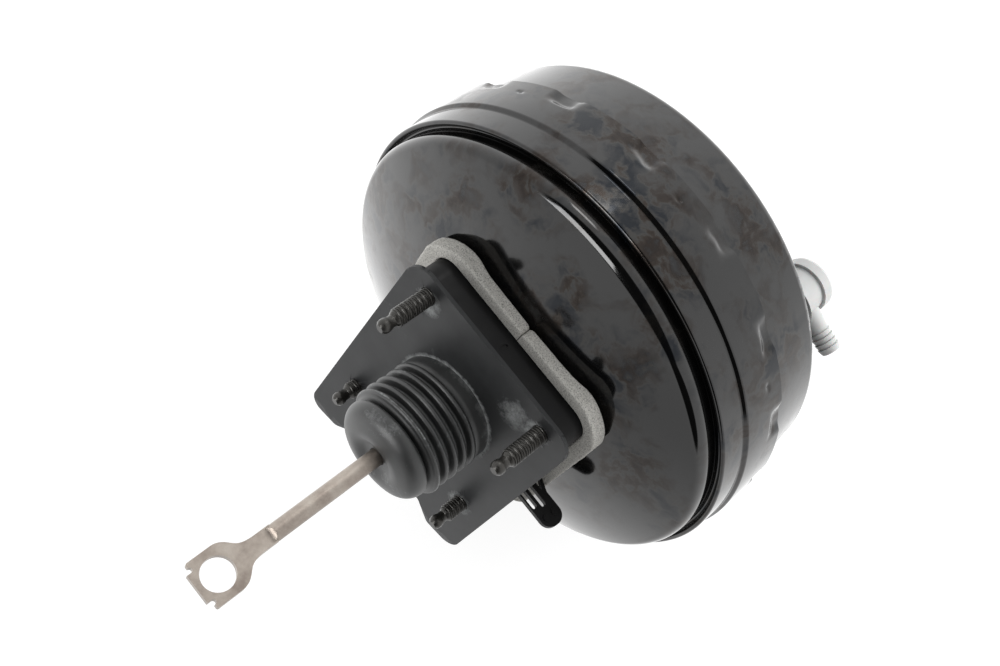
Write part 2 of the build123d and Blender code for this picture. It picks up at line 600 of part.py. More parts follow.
# Check valve: grommet, body with hose nozzle, cap, disc and spring
stem_r = 6.4
body_y = port_seat_y + 3.2
cap_y = port_cap_y - 8.0
at_port = Pos(port_x, 0, port_z)
grommet = turned((stem_r + 0.1, port_seat_y - 5), (port_hole_r + 1.6, port_seat_y - 4.6),
                 (port_hole_r + 1.6, port_seat_y - steel_t - 0.1), (port_hole_r - 0.1, port_seat_y - steel_t - 0.1),
                 (port_hole_r - 0.1, port_seat_y + 0.1), (port_hole_r + 3, port_seat_y + 0.1),
                 (port_hole_r + 3, port_seat_y + 3), (stem_r + 0.1, port_seat_y + 3))
save(at_port * grommet, "check_valve_grommet")
chamber_r = port_body_r - 2.5
floor_y = body_y + 2.4
valve_solid = turned((0, port_seat_y - 8), (stem_r - 1, port_seat_y - 8), (stem_r, port_seat_y - 6), (stem_r, body_y),
                     (port_body_r, body_y), (port_body_r, cap_y - 0.1), (0, cap_y - 0.1))
nozzle_y = body_y + 8.2
nozzle_profile = [(0, 0), (port_body_r - 5, 0), (nozzle_r + 0.6, 18), (nozzle_r, 24)]
for i in range(4):
    start = 24.5 + i * 3.0
    nozzle_profile += [(nozzle_r + 0.55, start), (nozzle_r - 0.25, start + 2.9)]
nozzle_profile += [(nozzle_r - 0.6, nozzle_reach), (0, nozzle_reach)]
nozzle = turned(*nozzle_profile)
aim = Pos(0, nozzle_y, 0) * Rot(0, nozzle_angle, 0) * Rot(90, 0, 0)
valve_solid += aim * nozzle & rod(60, body_y, cap_y - 0.1)
valve_solid -= aim * rod(3.6, 4, nozzle_reach + 1)
valve_solid -= rod(chamber_r, floor_y, cap_y + 1)
valve_solid -= rod(3.6, port_seat_y - 10, floor_y + 1)
save(at_port * valve_solid, "check_valve_body")
cap = turned((0, cap_y), (port_cap_r, cap_y), (port_cap_r, port_cap_y - 2.4), (port_cap_r - 0.7, port_cap_y - 0.7),
             (port_cap_r - 2.4, port_cap_y), (0, port_cap_y))
cap -= rod(chamber_r, cap_y - 1, cap_y + 3)
save(at_port * cap, "check_valve_cap")
valve_disc_y = floor_y + 0.2
save(at_port * turned((0, valve_disc_y), (7.4, valve_disc_y), (8.0, valve_disc_y + 0.8), (8.0, valve_disc_y + 2),
                      (2.5, valve_disc_y + 2), (2.5, valve_disc_y + 3.6), (0, valve_disc_y + 3.6)),
     "check_valve_disc")
save(at_port * coil(4.0, 4.0, valve_disc_y + 2.2, cap_y + 2.8, 3, 0.5), "check_valve_spring")
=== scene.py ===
import math

import bmesh
import bpy
from mathutils import Matrix, Vector, noise


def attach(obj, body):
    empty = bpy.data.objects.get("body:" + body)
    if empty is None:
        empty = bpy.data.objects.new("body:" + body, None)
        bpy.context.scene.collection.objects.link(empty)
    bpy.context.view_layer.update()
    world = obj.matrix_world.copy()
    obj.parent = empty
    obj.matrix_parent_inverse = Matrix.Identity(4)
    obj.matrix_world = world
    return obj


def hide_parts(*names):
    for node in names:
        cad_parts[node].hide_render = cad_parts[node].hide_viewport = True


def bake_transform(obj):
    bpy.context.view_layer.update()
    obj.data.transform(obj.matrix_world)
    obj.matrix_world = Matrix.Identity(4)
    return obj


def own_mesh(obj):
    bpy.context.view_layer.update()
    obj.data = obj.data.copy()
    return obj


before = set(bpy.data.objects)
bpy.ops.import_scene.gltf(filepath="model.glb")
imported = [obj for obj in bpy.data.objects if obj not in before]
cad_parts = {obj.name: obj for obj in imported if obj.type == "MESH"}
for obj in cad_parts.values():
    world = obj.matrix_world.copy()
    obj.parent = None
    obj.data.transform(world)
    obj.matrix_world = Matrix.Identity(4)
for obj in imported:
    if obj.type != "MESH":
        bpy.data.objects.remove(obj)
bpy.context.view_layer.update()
mm = 0.001

# Camera. The booster is photographed from the pedal side, lying on the side of its drum, so the view is rolled
# against the frame's upright. Place and direction come from the four studs, the shell's circles and the rod.
camera_mm = Vector((-586.19, -277.02, 53.6))
view_right = Vector((-0.3198, 0.70909, 0.62842))
view_down = Vector((0.37421, -0.5148, 0.77133))
view_forward = Vector((0.87045, 0.48184, -0.10072))
focal_px = 1217.1
image_width_px = 1000
camera_data = bpy.data.cameras.new("camera")
camera_data.sensor_width = 36
camera_data.lens = focal_px / image_width_px * camera_data.sensor_width
camera = bpy.data.objects.new("camera", camera_data)
axes = Matrix((view_right, -view_down, -view_forward)).transposed().to_4x4()
camera.matrix_world = Matrix.Translation(camera_mm * mm) @ axes
bpy.context.scene.collection.objects.link(camera)
bpy.context.scene.camera = camera
bpy.context.scene.view_settings.view_transform = "Standard"


# Studio room. For gloss it is a white tent with two dark openings, beside the camera and below it, so that the
# enamel carries black lines along its bends. It is lighter overhead and low on the right, darker high on the right.
# Other rays meet a dim even room, and the camera sees plain white.
def linear(hex_colour):
    """Linear RGBA of an sRGB hex colour."""
    channels = [int(hex_colour[i:i + 2], 16) / 255 for i in (1, 3, 5)]
    return [c / 12.92 if c <= 0.04045 else ((c + 0.055) / 1.055) ** 2.4 for c in channels] + [1.0]


def add(tree, kind, settings=None, **inputs):
    """Add one node with its settings, then fill its inputs, named or as i and their number, with values or links."""
    node = tree.nodes.new(kind)
    for name, value in (settings or {}).items():
        setattr(node, name, value)
    for name, value in inputs.items():
        numbered = name[0] == "i" and name[1:].isdigit()
        socket = node.inputs[int(name[1:])] if numbered else node.inputs[name.replace("_", " ")]
        if isinstance(value, bpy.types.NodeSocket):
            tree.links.new(value, socket)
        else:
            socket.default_value = value
    return node


def seen_from_drum(off_axis, clock):
    """Unit direction, off_axis degrees away from the camera, at a clock angle in its picture (0 right, 90 up)."""
    a, c = math.radians(off_axis), math.radians(clock)
    sideways = view_right * math.cos(c) - view_down * math.sin(c)
    return (sideways * math.sin(a) - view_forward * math.cos(a)).normalized()


world = bpy.data.worlds.new("studio")
bpy.context.scene.world = world
world.use_nodes = True
tree = world.node_tree
tree.nodes.clear()
rays = add(tree, "ShaderNodeLightPath")
direction = add(tree, "ShaderNodeTexCoord").outputs["Generated"]
openings = []
opening_blur = 2
for off_axis, clock, half_width in ((22, -145, 40), (60, -90, 22)):
    facing = add(tree, "ShaderNodeVectorMath", {"operation": "DOT_PRODUCT"}, i0=direction,
                 i1=seen_from_drum(off_axis, clock))
    openings.append(add(tree, "ShaderNodeMapRange", Value=facing.outputs["Value"],
                        From_Min=math.cos(math.radians(half_width + opening_blur)),
                        From_Max=math.cos(math.radians(half_width - opening_blur))).outputs[0])
opening = add(tree, "ShaderNodeMath", {"operation": "MAXIMUM"}, i0=openings[0], i1=openings[1])
tent = add(tree, "ShaderNodeMix", {"data_type": "RGBA"}, i0=opening.outputs[0], i6=linear("#ffffff"),
           i7=linear("#1c1c1c"))
overhead = Vector((-0.1, 0.68, -0.72))
low_right = Vector((0.85, -0.3, -0.45))
high_right = Vector((0.8, -0.5, 0.35))
tent_strength = 1.55
full_strength_from = 0.97
for towards, start, gain in ((overhead, 0.1, 0.45), (low_right, 0.55, 0.4), (high_right, 0.6, -0.5)):
    facing = add(tree, "ShaderNodeVectorMath", {"operation": "DOT_PRODUCT"}, i0=direction, i1=towards.normalized())
    glow = add(tree, "ShaderNodeMapRange", {"interpolation_type": "SMOOTHSTEP"}, Value=facing.outputs["Value"],
               From_Min=start, From_Max=full_strength_from, To_Max=gain)
    tent_strength = add(tree, "ShaderNodeMath", {"operation": "ADD"}, i0=tent_strength,
                        i1=glow.outputs[0]).outputs[0]
room = add(tree, "ShaderNodeBackground", Color=linear("#ffffff"), Strength=0.4)
mirrored = add(tree, "ShaderNodeBackground", Color=tent.outputs[2], Strength=tent_strength)
backdrop = add(tree, "ShaderNodeBackground", Color=linear("#ffffff"), Strength=1.0)
in_gloss = add(tree, "ShaderNodeMixShader", i0=rays.outputs["Is Glossy Ray"], i1=room.outputs[0],
               i2=mirrored.outputs[0])
through = add(tree, "ShaderNodeMath", {"operation": "MAXIMUM"}, i0=rays.outputs["Is Camera Ray"],
              i1=rays.outputs["Is Transmission Ray"])
seen = add(tree, "ShaderNodeMixShader", i0=through.outputs[0], i1=in_gloss.outputs[0], i2=backdrop.outputs[0])
add(tree, "ShaderNodeOutputWorld", Surface=seen.outputs[0])


# Lamps. Three wide soft boxes overhead, to the left and to the right light the colours and stay out of the gloss.
# Two small ones beside the camera show in the gloss alone and draw the white streaks along shoulder and gutter.
aim = Vector((-0.06, 0.06, 0))


def softbox(name, towards, distance, size, radiance, mirrored):
    """A square area lamp aimed at the drum, for its gloss alone or for all but the gloss. Radiance 1 is white."""
    data = bpy.data.lights.new(name, "AREA")
    data.shape = "SQUARE"
    data.size = size
    data.energy = radiance * math.pi * size ** 2
    lamp = bpy.data.objects.new(name, data)
    lamp.location = aim + towards.normalized() * distance
    lamp.rotation_mode = "QUATERNION"
    lamp.rotation_quaternion = (-towards).to_track_quat("-Z", "Y")
    lamp.visible_glossy = mirrored
    lamp.visible_diffuse = not mirrored
    bpy.context.scene.collection.objects.link(lamp)


softbox("overhead", overhead, 1.5, 1.4, 1.7, False)
softbox("left_side", Vector((0.5, -0.65, -0.55)), 1.5, 1.4, 2.1, False)
softbox("right_side", seen_from_drum(75, 10), 1.5, 1.2, 5.0, False)
softbox("left_of_camera", seen_from_drum(44, -169), 1.2, 0.6, 11, True)
softbox("above_camera", seen_from_drum(60, 70), 1.2, 0.28, 7, True)

# Table. White paper that the drum's side lies on. It is only seen from its upper side, and it takes the drum's
# shadow without shading the drum. Its fibres are drawn about 1 mm wide, far coarser than real ones.
table_up = Vector((-0.891, 0, -0.453))
table_drop = 137.2 * mm
table_size = 6
fibre_scale = 900.0
bpy.ops.mesh.primitive_plane_add(size=table_size)
table = bpy.context.object
table.name = "table_paper"
lie = table_up.to_track_quat("Z", "Y").to_matrix().to_4x4()
table.data.transform(Matrix.Translation(-table_up * table_drop) @ lie)
paper = bpy.data.materials.new("white_paper")
paper.use_nodes = True
tree = paper.node_tree
tree.nodes.clear()
fibres = add(tree, "ShaderNodeTexNoise", Vector=add(tree, "ShaderNodeTexCoord").outputs["Object"],
             Scale=fibre_scale)
bump = add(tree, "ShaderNodeBump", Height=fibres.outputs[0], Strength=0.1, Distance=0.1 * mm)
shaded = add(tree, "ShaderNodeBsdfDiffuse", Color=linear("#8f8f8f"), Normal=bump.outputs[0])
glow = add(tree, "ShaderNodeEmission", Color=linear("#ffffff"), Strength=0.9)
lit = add(tree, "ShaderNodeAddShader", i0=shaded.outputs[0], i1=glow.outputs[0])
side = add(tree, "ShaderNodeNewGeometry")
clear = add(tree, "ShaderNodeBsdfTransparent")
one_sided = add(tree, "ShaderNodeMixShader", i0=side.outputs["Backfacing"], i1=lit.outputs[0], i2=clear.outputs[0])
add(tree, "ShaderNodeOutputMaterial", Surface=one_sided.outputs[0])
table.data.materials.append(paper)
for ray_kind in ("visible_diffuse", "visible_glossy", "visible_transmission", "visible_shadow"):
    setattr(table, ray_kind, False)


# Rear and front shell: deep-drawn sheet steel, dipped in black enamel. The gloss is even, with a film of dried
# oil over it: brown and blue patches with torn edges, duller where they have gathered dust.
def new_material(name):
    """A material with a Principled shader. Returns the material, its tree, the shader and object coordinates."""
    material = bpy.data.materials.new(name)
    material.use_nodes = True
    tree = material.node_tree
    shader = tree.nodes["Principled BSDF"]
    return material, tree, shader, add(tree, "ShaderNodeTexCoord").outputs["Object"]


def ramp(tree, value, *stops):
    """Colour ramp from (position, hex colour) stops."""
    node = add(tree, "ShaderNodeValToRGB", Fac=value)
    elements = node.color_ramp.elements
    while len(elements) < len(stops):
        elements.new(0.5)
    for element, (position, colour) in zip(elements, stops):
        element.position = position
        element.color = linear(colour)
    return node.outputs["Color"]


def per_mm(size):
    """Noise scale for features of a size in millimetres."""
    return 1000.0 / size


def dress(material, *nodes):
    """Give CAD nodes a material."""
    for name in nodes:
        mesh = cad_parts[name].data
        mesh.materials.clear()
        mesh.materials.append(material)


enamel, tree, shader, coords = new_material("black_enamel_on_drawn_steel")
swirl = add(tree, "ShaderNodeTexNoise", Vector=coords, Scale=per_mm(20), Detail=3.0)
pushed = add(tree, "ShaderNodeVectorMath", {"operation": "SCALE"}, i0=swirl.outputs["Color"], Scale=20 * mm)
torn = add(tree, "ShaderNodeVectorMath", {"operation": "ADD"}, i0=coords, i1=pushed.outputs[0])
patches = add(tree, "ShaderNodeTexNoise", Vector=torn.outputs[0], Scale=per_mm(46), Detail=4.0, Roughness=0.6)
film = add(tree, "ShaderNodeTexNoise", Vector=torn.outputs[0], Scale=per_mm(17), Detail=4.0, Roughness=0.6)
in_patch = ramp(tree, patches.outputs[0], (0.0, "#000000"), (0.43, "#000000"), (0.58, "#ffffff"), (1.0, "#ffffff"))
oil_tint = ramp(tree, film.outputs[0], (0.28, "#a9b0ba"), (0.39, "#9da4af"), (0.48, "#eeece9"), (0.53, "#c4b3a8"),
                (0.60, "#a2958e"), (0.68, "#949ba6"), (0.78, "#d8cfc6"))
tint = add(tree, "ShaderNodeMix", {"data_type": "RGBA"}, i0=in_patch, i6=linear("#fbfbfb"), i7=oil_tint)
dusty = ramp(tree, film.outputs[0], (0.40, "#0d0e10"), (0.50, "#191817"), (0.60, "#141211"), (0.70, "#2b2a28"))
body_colour = add(tree, "ShaderNodeMix", {"data_type": "RGBA"}, i0=in_patch, i6=linear("#0d0d0d"), i7=dusty)
haze = add(tree, "ShaderNodeTexNoise", Vector=coords, Scale=per_mm(90), Detail=2.0)
dull = add(tree, "ShaderNodeMapRange", Value=haze.outputs[0], From_Min=0.3, From_Max=0.7, To_Min=0.06, To_Max=0.11)
film_dull = add(tree, "ShaderNodeMapRange", Value=film.outputs[0], From_Min=0.45, From_Max=0.66, To_Min=0.08,
                To_Max=0.24)
rough = add(tree, "ShaderNodeMix", {"data_type": "FLOAT"}, i0=in_patch, i2=dull.outputs[0], i3=film_dull.outputs[0])
waves = add(tree, "ShaderNodeTexNoise", Vector=coords, Scale=per_mm(14), Detail=1.0)
wave_bump = add(tree, "ShaderNodeBump", Height=waves.outputs[0], Strength=0.05, Distance=0.25 * mm)
tree.links.new(body_colour.outputs[2], shader.inputs["Base Color"])
tree.links.new(tint.outputs[2], shader.inputs["Specular Tint"])
tree.links.new(rough.outputs[0], shader.inputs["Roughness"])
tree.links.new(wave_bump.outputs[0], shader.inputs["Normal"])


def copy_of(node):
    """A merged copy of a CAD node's mesh, as a bmesh."""
    shape = bmesh.new()
    shape.from_mesh(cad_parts[node].data)
    bmesh.ops.remove_doubles(shape, verts=shape.verts, dist=0.002 * mm)
    return shape


def smooth_below(mesh, degrees):
    """Smooth shading, with edges sharper than an angle kept sharp."""
    for face in mesh.polygons:
        face.use_smooth = True
    mesh.set_sharp_from_angle(angle=math.radians(degrees))


def link_object(name, mesh):
    """Put a mesh in the scene as an object at the origin."""
    made = bpy.data.objects.new(name, mesh)
    bpy.context.scene.collection.objects.link(made)
    return made


def finished_copy(name, node, shape, material, degrees):
    """Turn a bmesh that stands for a CAD node into a smooth-shaded piece with one material, and hide the node."""
    mesh = bpy.data.meshes.new(name)
    shape.to_mesh(mesh)
    shape.free()
    mesh.materials.clear()
    mesh.materials.append(material)
    for face in mesh.polygons:
        face.material_index = 0
    smooth_below(mesh, degrees)
    piece = link_object(name, mesh)
    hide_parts(node)
    return piece


dress(enamel, "front_shell")


def lathe(name, outline, sides, material, closed=False):
    """Mesh turned about Y from (radius, y) points in millimetres. Points on the axis close it."""
    shape = bmesh.new()
    loops = []
    for r, y in outline:
        if r < 1e-6:
            loops.append([shape.verts.new((0, y * mm, 0))])
        else:
            loops.append([shape.verts.new((r * mm * math.cos(2 * math.pi * k / sides), y * mm,
                                           r * mm * math.sin(2 * math.pi * k / sides))) for k in range(sides)])
    pairs = list(zip(loops, loops[1:])) + ([(loops[-1], loops[0])] if closed else [])
    for low, high in pairs:
        for k in range(sides):
            corners = [low[k % len(low)], low[(k + 1) % len(low)], high[(k + 1) % len(high)], high[k % len(high)]]
            corners = list(dict.fromkeys(corners))
            if len(corners) > 2:
                shape.faces.new(corners)
    bmesh.ops.recalc_face_normals(shape, faces=shape.faces)
    mesh = bpy.data.meshes.new(name)
    shape.to_mesh(mesh)
    shape.free()
    mesh.materials.append(material)
    smooth_below(mesh, 35)
    return mesh


def sheet_side(line, shift):
    """One face of a pressed sheet: its (r, y, bend) line moved shift millimetres to the left, as (r, y) points."""
    wide_bend, wide_steps, arc_degrees = 50, 16, 9
    side = []
    for i, (r, y, bend) in enumerate(line):
        here = Vector((r, y))
        before = (here - Vector(line[i - 1][:2])).normalized() if i else None
        after = (Vector(line[i + 1][:2]) - here).normalized() if i < len(line) - 1 else None
        if before is None or after is None:
            along = after or before
            side.append(here + Vector((-along.y, along.x)) * shift)
            continue
        turn = math.atan2(before.x * after.y - before.y * after.x, before.dot(after))
        sign = math.copysign(1, turn)
        left = Vector((-before.y, before.x))
        centre = here - before * bend * math.tan(abs(turn) / 2) + left * bend * sign
        steps = wide_steps if bend > wide_bend else max(4, math.ceil(abs(math.degrees(turn)) / arc_degrees))
        for k in range(steps + 1):
            c, n = math.cos(turn * k / steps), math.sin(turn * k / steps)
            spoke = Vector((-left.x * c + left.y * n, -left.x * n - left.y * c)) * sign
            side.append(centre + spoke * (bend - shift * sign))
    return [tuple(point) for point in side]


def eased(value):
    """Smooth step from 0 to 1."""
    value = min(max(value, 0.0), 1.0)
    return value * value * (3 - 2 * value)


# The rear shell's own mesh is turned from the sheet's line, so that its reflections run unbroken round the drum.
# Sixteen crimps press its skirt's edge in over the front shell, and eight small punch marks lie between them. Its
# number of sides is the most that keeps it under 200,000 triangles.
shell_sides = 416
steel_thick = 1.4
neck_r, neck_y = 29.6, 20.35
dome_bend_r, dome_bend_y = 77.9, 24.76
gutter_inner_r, gutter_outer_r = 129.0, 131.9
gutter_floor_y = 60.2
nose_y = 56.6
band_r = 135.1
skirt_r = 137.0
skirt_start_y = 74.2
skirt_end_y = 101.5
crimp_count = 16
crimp_depth = 1.9
crimp_half_length = 10.5
crimp_start_y = 91.0
crimp_end_run = 6.0
crimp_side_run = 5.5
punch_apart = 45
punch_y = 91.6
punch_depth = 0.9
punch_r = 1.3
hand_scale = 0.11
sheet_line = [(neck_r, 9.5, 0), (neck_r, neck_y, 3.0), (dome_bend_r, dome_bend_y, 300.0), (130.6, 46.27, 7.0),
              (gutter_inner_r, gutter_floor_y, 1.3), (gutter_outer_r, gutter_floor_y, 1.3),
              (gutter_outer_r, nose_y, 1.55), (band_r, nose_y, 1.55), (band_r, 72.2, 1.6),
              (skirt_r, skirt_start_y, 1.6), (skirt_r, 88.0, 0)]
skirt_rows = [88.6 + 0.6 * k for k in range(21)] + [101.2, skirt_end_y]
outside = sheet_side(sheet_line, 0)[:-1] + [(skirt_r, y) for y in skirt_rows]
within = sheet_side(sheet_line, steel_thick)[:-1] + [(skirt_r - steel_thick, y) for y in skirt_rows]
shell_mesh = lathe("enamelled_rear_shell", outside + within[::-1], shell_sides, enamel, closed=True)
for vertex in shell_mesh.vertices:
    x, y, z = vertex.co / mm
    r = math.hypot(x, z)
    if y < skirt_start_y + 8 or r < skirt_r - 2 * steel_thick:
        continue
    turn = math.degrees(math.atan2(z, x))
    from_crimp = abs((turn * crimp_count / 360) % 1 - 0.5) * 2 * math.pi / crimp_count * r
    from_punch = abs((turn / punch_apart + 0.5) % 1 - 0.5) * math.radians(punch_apart) * r
    hand = noise.noise(Vector((x, y, z)) * hand_scale)
    press = crimp_depth * eased((crimp_half_length + 2 * hand - from_crimp) / crimp_end_run)
    press *= eased((y - crimp_start_y + 2.5 * hand) / crimp_side_run) * (1 + 0.3 * hand)
    if r > skirt_r - 0.5 * steel_thick:
        press += punch_depth * math.exp(-((from_punch ** 2 + (y - punch_y) ** 2) / punch_r ** 2))
    vertex.co.x *= 1 - press / r
    vertex.co.z *= 1 - press / r
smooth_below(shell_mesh, 40)
rear_shell = link_object("enamelled_rear_shell", shell_mesh)
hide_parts("rear_shell")
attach(rear_shell, "housing")

# Stud plate, front reinforcement, support plates and divider: pressed steel, zinc plated and passivated, which
# gives a pale metal with a slight yellow and blue cast and faint draw marks round the axis.
zinc, tree, shader, coords = new_material("passivated_zinc_on_steel")
cast = add(tree, "ShaderNodeTexNoise", Vector=coords, Scale=per_mm(30), Detail=3.0)
zinc_colour = ramp(tree, cast.outputs[0], (0.35, "#9fa3a6"), (0.5, "#b3b0a2"), (0.65, "#a39f86"))
grain = add(tree, "ShaderNodeTexNoise", Vector=coords, Scale=per_mm(1.2), Detail=2.0)
grain_rough = add(tree, "ShaderNodeMapRange", Value=grain.outputs[0], To_Min=0.3, To_Max=0.5)
grain_bump = add(tree, "ShaderNodeBump", Height=grain.outputs[0], Strength=0.15, Distance=0.05 * mm)
shader.inputs["Metallic"].default_value = 1.0
tree.links.new(zinc_colour, shader.inputs["Base Color"])
tree.links.new(grain_rough.outputs[0], shader.inputs["Roughness"])
tree.links.new(grain_bump.outputs[0], shader.inputs["Normal"])
dress(zinc, "stud_plate", "front_reinforcement", "rear_support_plate", "front_support_plate", "housing_divider")


# Studs: cold-headed steel with rolled threads, phosphated and oiled to a dark grey, four M10 towards the firewall
# and two M8 towards the master cylinder. Each is a turned core with its thread wound round it. The phosphate's
# crystals are far too fine to show, so they are drawn 0.5 mm wide.
def node_group(name, *sockets):
    """Geometry Nodes tree with a geometry input and output and named float or object inputs."""
    tree = bpy.data.node_groups.new(name, "GeometryNodeTree")
    tree.interface.new_socket("Geometry", in_out="INPUT", socket_type="NodeSocketGeometry")
    tree.interface.new_socket("Geometry", in_out="OUTPUT", socket_type="NodeSocketGeometry")
    for label, kind in sockets:
        tree.interface.new_socket(label, in_out="INPUT", socket_type=kind)
    return tree, add(tree, "NodeGroupInput").outputs


def grow(name, tree, mesh, **values):
    """Run a Geometry Nodes tree on a mesh and return the plain result as a new object."""
    seed = link_object(name + "_seed", mesh)
    modifier = seed.modifiers.new("grow", "NODES")
    modifier.node_group = tree
    for item in tree.interface.items_tree:
        if item.in_out == "INPUT" and item.name.replace(" ", "_") in values:
            modifier[item.identifier] = values[item.name.replace(" ", "_")]
    graph = bpy.context.evaluated_depsgraph_get()
    grown = bpy.data.meshes.new_from_object(seed.evaluated_get(graph), depsgraph=graph)
    seed.modifiers.remove(modifier)
    bpy.data.objects.remove(seed)
    grown.name = name
    return link_object(name, grown)


def wound_wire(tree, turns, height, radius_low, radius_high, wire_r, wire_sides, per_turn=32):
    """Nodes for a round wire wound about Y from y = 0, in metres."""
    spiral = add(tree, "GeometryNodeCurveSpiral", Resolution=per_turn, Rotations=turns, Start_Radius=radius_low,
                 End_Radius=radius_high, Height=height)
    upright = add(tree, "GeometryNodeTransform", Geometry=spiral.outputs[0], Rotation=(-math.pi / 2, 0, 0))
    section = add(tree, "GeometryNodeCurvePrimitiveCircle", Resolution=wire_sides, Radius=wire_r)
    return add(tree, "GeometryNodeCurveToMesh", Curve=upright.outputs[0], Profile_Curve=section.outputs[0],
               Fill_Caps=True)


phosphate, tree, shader, coords = new_material("oiled_phosphate_on_steel")
crystals = add(tree, "ShaderNodeTexNoise", Vector=coords, Scale=per_mm(0.5), Detail=3.0)
crystal_colour = ramp(tree, crystals.outputs[0], (0.3, "#2b2a28"), (0.7, "#35332f"))
crystal_bump = add(tree, "ShaderNodeBump", Height=crystals.outputs[0], Strength=0.05, Distance=0.01 * mm)
crystal_rough = add(tree, "ShaderNodeMapRange", Value=crystals.outputs[0], To_Min=0.28, To_Max=0.42)
shader.inputs["Metallic"].default_value = 0.45
tree.links.new(crystal_rough.outputs[0], shader.inputs["Roughness"])
tree.links.new(crystal_colour, shader.inputs["Base Color"])
tree.links.new(crystal_bump.outputs[0], shader.inputs["Normal"])

thread_tree, given = node_group("threaded_studs", ("Core", "NodeSocketObject"), ("Turns", "NodeSocketFloat"),
                                ("Length", "NodeSocketFloat"), ("Radius", "NodeSocketFloat"),
                                ("Start", "NodeSocketFloat"), ("Crest", "NodeSocketFloat"))
core = add(thread_tree, "GeometryNodeObjectInfo", Object=given["Core"])
ridge = wound_wire(thread_tree, given["Turns"], given["Length"], given["Radius"], given["Radius"], given["Crest"], 8)
offset = add(thread_tree, "ShaderNodeCombineXYZ", Y=given["Start"])
placed = add(thread_tree, "GeometryNodeTransform", Geometry=ridge.outputs[0], Translation=offset.outputs[0])
one_stud = add(thread_tree, "GeometryNodeJoinGeometry")
thread_tree.links.new(core.outputs["Geometry"], one_stud.inputs[0])
thread_tree.links.new(placed.outputs[0], one_stud.inputs[0])
instances = add(thread_tree, "GeometryNodeInstanceOnPoints", Points=given["Geometry"], Instance=one_stud.outputs[0])
real = add(thread_tree, "GeometryNodeRealizeInstances", Geometry=instances.outputs[0])
painted = add(thread_tree, "GeometryNodeSetMaterial", Geometry=real.outputs[0], Material=phosphate)
add(thread_tree, "NodeGroupOutput", Geometry=painted.outputs[0])

stud_x, stud_z = 54, 44
head_seat_y = 28.9
firewall_outline = [(0, -33), (2.2, -33), (3.7, -31.4), (4.0, -29.6), (3.7, -27.8), (3.2, -26.8), (3.2, -24.4),
                    (4.2, -23.0), (4.35, -22.5), (4.35, 2.2), (5.0, 2.6), (6.0, 3.0), (6.0, head_seat_y),
                    (8.0, head_seat_y), (8.0, head_seat_y + 2.6), (0, head_seat_y + 2.6)]
cylinder_outline = [(0, 156.9), (7.0, 156.9), (7.0, 159.4), (4.4, 159.4), (4.4, 162.8), (3.45, 163.4), (3.45, 188),
                    (2.9, 189.4), (2.9, 191), (0, 191)]
firewall_places = [(x, z) for x in (-stud_x, stud_x) for z in (-stud_z, stud_z)]
cylinder_places = [(-42.5, 0), (42.5, 0)]
# Each row: node, outline, places, pitch, the thread's start and end along Y, its root radius and its crest's radius.
stud_rows = (
    ("firewall_studs", firewall_outline, firewall_places, 1.5, -22.6, 2.0, 4.45, 0.52),
    ("master_cylinder_studs", cylinder_outline, cylinder_places, 1.25, 163.6, 188, 3.5, 0.48),
)
for name, outline, places, pitch, start, end, root_r, crest in stud_rows:
    core_object = link_object(name + "_core", lathe(name + "_core", outline, 40, phosphate))
    points = bpy.data.meshes.new(name + "_points")
    points.from_pydata([(x * mm, 0, z * mm) for x, z in places], [], [])
    studs = grow("dressed_" + name, thread_tree, points, Core=core_object, Turns=(end - start) / pitch,
                 Length=(end - start) * mm, Radius=root_r * mm, Start=start * mm, Crest=crest * mm)
    bpy.data.objects.remove(core_object)
    smooth_below(studs.data, 35)
    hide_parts(name)
    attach(studs, "housing")

# Spacer block and harness clip: injection-moulded black nylon with a fine grain and scuffs, nearly matt. The clip
# stands on the block's top and takes the wiring.
nylon, tree, shader, coords = new_material("moulded_black_nylon")
grain = add(tree, "ShaderNodeTexNoise", Vector=coords, Scale=per_mm(0.6), Detail=2.0)
scuffs = add(tree, "ShaderNodeTexNoise", Vector=coords, Scale=per_mm(14), Detail=6.0, Roughness=0.7)
nylon_colour = ramp(tree, scuffs.outputs[0], (0.4, "#0b0b0b"), (0.64, "#101011"), (0.78, "#232323"))
nylon_rough = add(tree, "ShaderNodeMapRange", Value=scuffs.outputs[0], From_Min=0.3, From_Max=0.7, To_Min=0.32,
                  To_Max=0.55)
grain_bump = add(tree, "ShaderNodeBump", Height=grain.outputs[0], Strength=0.12, Distance=0.1 * mm)
shader.inputs["Specular IOR Level"].default_value = 0.14
tree.links.new(nylon_colour, shader.inputs["Base Color"])
tree.links.new(nylon_rough.outputs[0], shader.inputs["Roughness"])
tree.links.new(grain_bump.outputs[0], shader.inputs["Normal"])
dress(nylon, "spacer_block", "harness_clip")

# Foam strip: open-cell grey polyurethane, cut from sheet and stuck round the spacer, with a butt joint on its
# short side. It is pressed against the shell's dome in front, and thinner where it is bent round the corners. Its
# cells are drawn about 1 mm wide, twice their real size.
foam_thick = 9.2
corner_thin = 2.0
foam_rear = 17.4
foam_front = 26.3
foam_edge_r = 1.1
foam_x, foam_z, foam_corner = 62.05, 57.55, 12.0
joint_z = 1.0
joint_half_gap = 0.25
joint_pinch = 0.3
joint_run = 0.9
dome_gap = 0.25
pore_depth = 0.16
wave_depth = 0.25
ring_step = 1.1
dome_rise = math.tan(math.radians(22.2))


def dome_height(r):
    """Rear shell's outer face, in millimetres, at a radius from the axis."""
    if r <= dome_bend_r:
        return neck_y + (r - neck_r) * (dome_bend_y - neck_y) / (dome_bend_r - neck_r)
    return dome_bend_y + (r - dome_bend_r) * dome_rise


